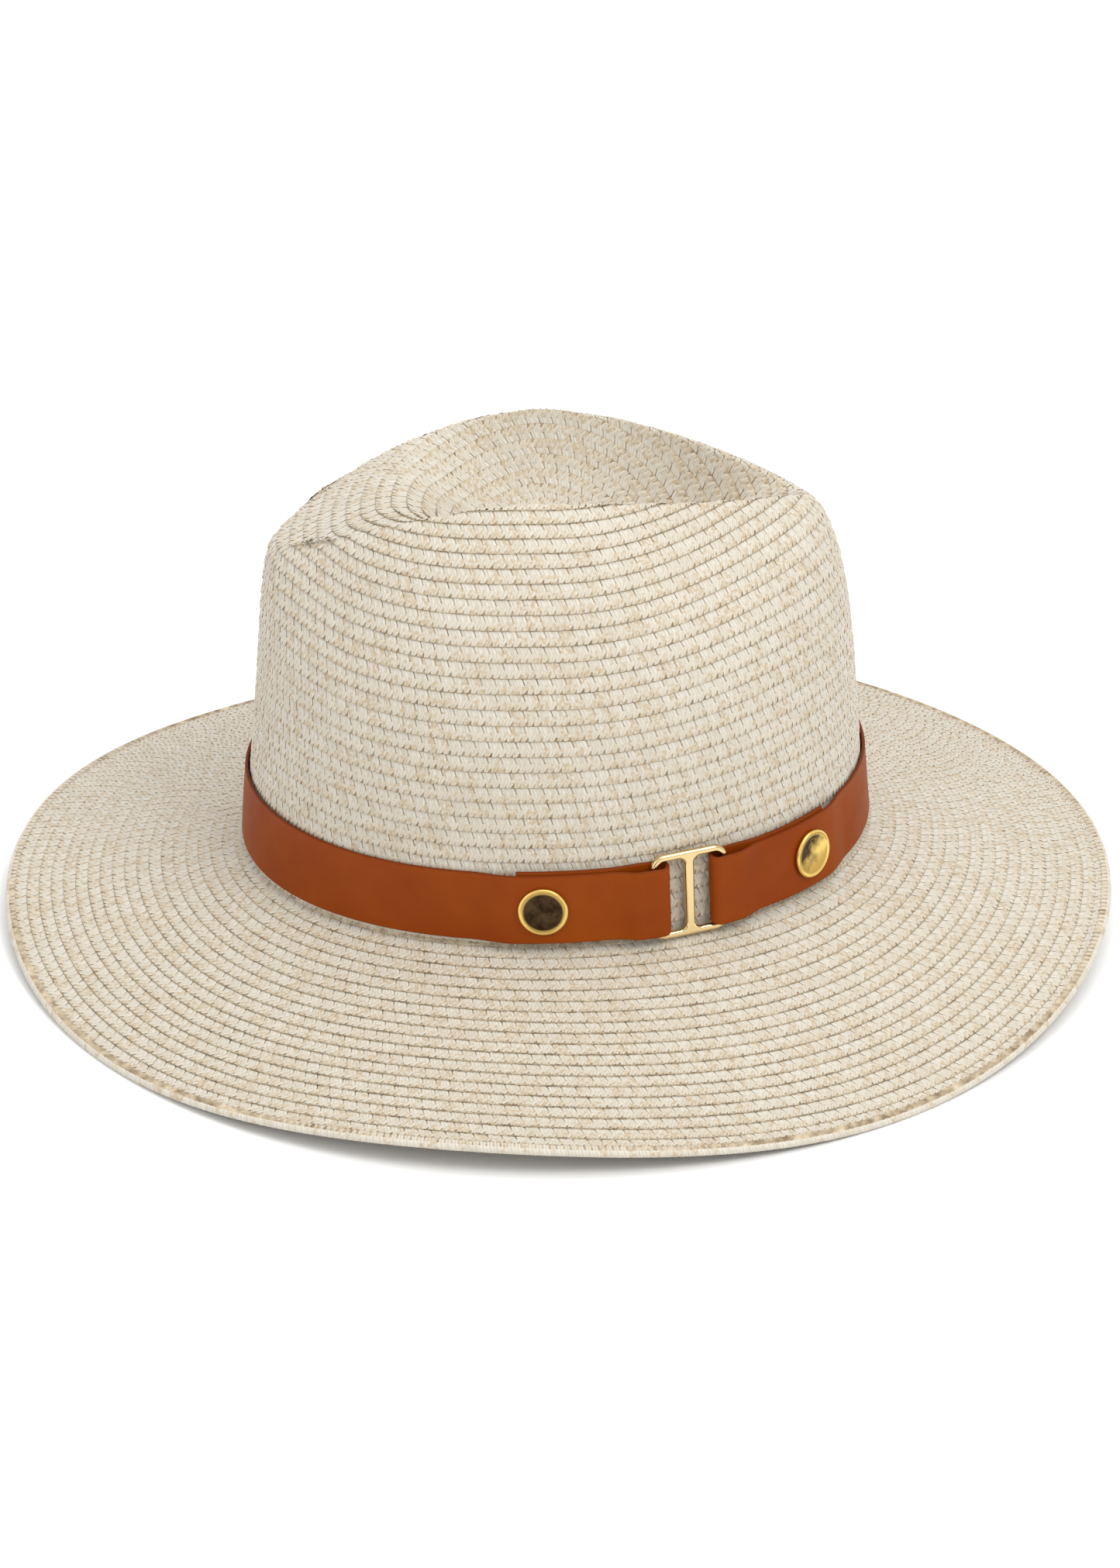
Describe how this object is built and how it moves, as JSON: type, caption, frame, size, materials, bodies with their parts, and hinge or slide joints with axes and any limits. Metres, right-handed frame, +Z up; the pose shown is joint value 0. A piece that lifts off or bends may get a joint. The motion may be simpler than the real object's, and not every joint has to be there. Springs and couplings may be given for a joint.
{
  "type": "sun hat",
  "caption": "Wide-brimmed sun hat of sewn straw-look braid with a dented crown, a riveted leather-look band and a metal slider buckle.",
  "frame": {"origin": "bottom centre of the hat's box, on the surface that the brim's edge stands on", "axes": "+Z up the crown; -Y the wearer's front, +Y the back, +X the wearer's left, where the buckle is"},
  "size_m": [0.3329, 0.3582, 0.1585],
  "materials": {
    "braid": "ivory paper braid, matt with a faint sheen",
    "edge_wire": "thin spring wire, hidden in the last row",
    "sweatband": "ribbed cotton ribbon",
    "strap": "cognac, glossy coated",
    "gold": "pale gold, polished"
  },
  "bodies": {
    "hat": {"crown_tip": "braid", "crown_side": "braid", "brim": "braid", "brim_edge_row": "braid", "brim_edge_wire": "edge_wire", "sweatband": "sweatband"},
    "band": {"hat_band": "strap", "rivet_cap_front": "gold", "rivet_cap_rear": "gold", "rivet_post_front": "gold", "rivet_post_rear": "gold"},
    "buckle": {"slider_buckle": "gold"}
  },
  "joints": [
    {"name": "band_lift", "type": "slide", "parent": "hat", "child": "band", "axis": [0.0159, -0.0404, 0.9991], "range_m": [0, 0.13]},
    {"name": "buckle_slide", "type": "slide", "parent": "band", "child": "buckle", "axis": [-0.3912, 0.9203, 0.0084], "range_m": [-0.001, 0.001]}
  ]
}
